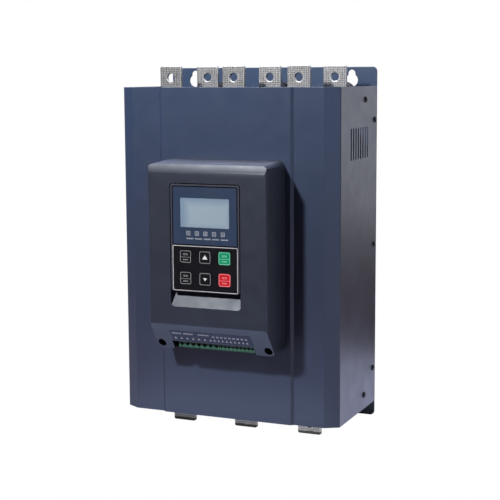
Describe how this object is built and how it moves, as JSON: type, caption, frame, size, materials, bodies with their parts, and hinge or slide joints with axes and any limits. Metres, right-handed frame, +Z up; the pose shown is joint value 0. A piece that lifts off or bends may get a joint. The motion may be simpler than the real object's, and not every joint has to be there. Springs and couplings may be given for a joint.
{
  "type": "soft starter",
  "caption": "Wall-hung motor soft starter: navy folded-steel case, busbar ends above and below, and a charcoal control box with a pull-out keypad and screw terminals.",
  "frame": {"origin": "rear face of the back plate, on the centre line, at half the height of the folded cover", "axes": "+Z up, +X to the right seen from the front, the front faces -Y and the wall is at +Y"},
  "size_m": [0.3052, 0.2165, 0.4805],
  "materials": {
    "navy_paint": "satin",
    "black_screw": "satin",
    "zinc_steel": "satin",
    "aluminium": "satin",
    "module_body": "matte",
    "tinned_copper": "satin",
    "yellow_zinc": "satin",
    "insulator_resin": "gloss",
    "transformer_resin": "gloss",
    "fan_plastic": "matte",
    "board_green": "gloss",
    "brass": "satin",
    "charcoal_plastic": "matte",
    "terminal_green": "satin",
    "label_blue": "satin",
    "keypad_black": "satin",
    "overlay_blue": "gloss",
    "window_clear": "gloss",
    "lcd_grey": "satin",
    "key_black": "satin",
    "key_green": "satin",
    "key_red": "satin"
  },
  "bodies": {
    "case": {"back_plate": "navy_paint", "front_cover": "navy_paint", "cover_screws": "black_screw", "shell_screws": "black_screw", "upper_bracket": "zinc_steel", "lower_bracket": "zinc_steel", "heat_sink_screws": "zinc_steel", "module_screws": "zinc_steel", "insulator_screws": "zinc_steel", "fan_screws": "zinc_steel", "board_screws": "zinc_steel", "thermal_switch": "zinc_steel", "terminal_screws": "zinc_steel", "heat_sink": "aluminium", "thyristor_module_a": "module_body", "thyristor_module_b": "module_body", "thyristor_module_c": "module_body", "input_bar_a": "tinned_copper", "input_bar_b": "tinned_copper", "input_bar_c": "tinned_copper", "bypass_bar_a": "tinned_copper", "bypass_bar_b": "tinned_copper", "bypass_bar_c": "tinned_copper", "output_bar_a": "tinned_copper", "output_bar_b": "tinned_copper", "output_bar_c": "tinned_copper", "terminal_bolts": "yellow_zinc", "short_insulators": "insulator_resin", "tall_insulators": "insulator_resin", "current_transformer_a": "transformer_resin", "current_transformer_b": "transformer_resin", "current_transformer_c": "transformer_resin", "pulse_transformers": "transformer_resin", "fan_frame_a": "fan_plastic", "fan_frame_b": "fan_plastic", "fan_frame_c": "fan_plastic", "trigger_board": "board_green", "control_board": "board_green", "board_standoffs": "brass", "control_shell": "charcoal_plastic", "relay_terminals": "terminal_green", "signal_terminals": "terminal_green", "terminal_label": "label_blue"},
    "keypad": {"keypad_frame": "keypad_black", "keypad_back": "keypad_black", "display_overlay": "overlay_blue", "display_window": "window_clear", "key_panel": "keypad_black", "lcd_module": "lcd_grey", "keypad_board": "board_green", "key_switches": "keypad_black"},
    "key_enter": {"key_enter": "key_black"},
    "key_up": {"key_up": "key_black"},
    "key_run": {"key_run": "key_green"},
    "key_set": {"key_set": "key_black"},
    "key_down": {"key_down": "key_black"},
    "key_stop": {"key_stop": "key_red"},
    "fan_rotor_a": {"fan_rotor_a": "fan_plastic"},
    "fan_rotor_b": {"fan_rotor_b": "fan_plastic"},
    "fan_rotor_c": {"fan_rotor_c": "fan_plastic"}
  },
  "joints": [
    {"name": "keypad_pull", "type": "slide", "parent": "case", "child": "keypad", "axis": [0, -1, 0], "range_m": [0, 0.018]},
    {"name": "key_enter_press", "type": "slide", "parent": "keypad", "child": "key_enter", "axis": [0, 1, 0], "range_m": [0, 0.0008], "stiffness_N_per_m": 2500},
    {"name": "key_up_press", "type": "slide", "parent": "keypad", "child": "key_up", "axis": [0, 1, 0], "range_m": [0, 0.0008], "stiffness_N_per_m": 2500},
    {"name": "key_run_press", "type": "slide", "parent": "keypad", "child": "key_run", "axis": [0, 1, 0], "range_m": [0, 0.0008], "stiffness_N_per_m": 2500},
    {"name": "key_set_press", "type": "slide", "parent": "keypad", "child": "key_set", "axis": [0, 1, 0], "range_m": [0, 0.0008], "stiffness_N_per_m": 2500},
    {"name": "key_down_press", "type": "slide", "parent": "keypad", "child": "key_down", "axis": [0, 1, 0], "range_m": [0, 0.0008], "stiffness_N_per_m": 2500},
    {"name": "key_stop_press", "type": "slide", "parent": "keypad", "child": "key_stop", "axis": [0, 1, 0], "range_m": [0, 0.0008], "stiffness_N_per_m": 2500},
    {"name": "fan_spin_a", "type": "hinge", "parent": "case", "child": "fan_rotor_a", "pos_m": [-0.091, -0.0325, -0.165], "axis": [0, 0, 1], "continuous": true},
    {"name": "fan_spin_b", "type": "hinge", "parent": "case", "child": "fan_rotor_b", "pos_m": [0, -0.0325, -0.165], "axis": [0, 0, 1], "continuous": true},
    {"name": "fan_spin_c", "type": "hinge", "parent": "case", "child": "fan_rotor_c", "pos_m": [0.091, -0.0325, -0.165], "axis": [0, 0, 1], "continuous": true}
  ]
}
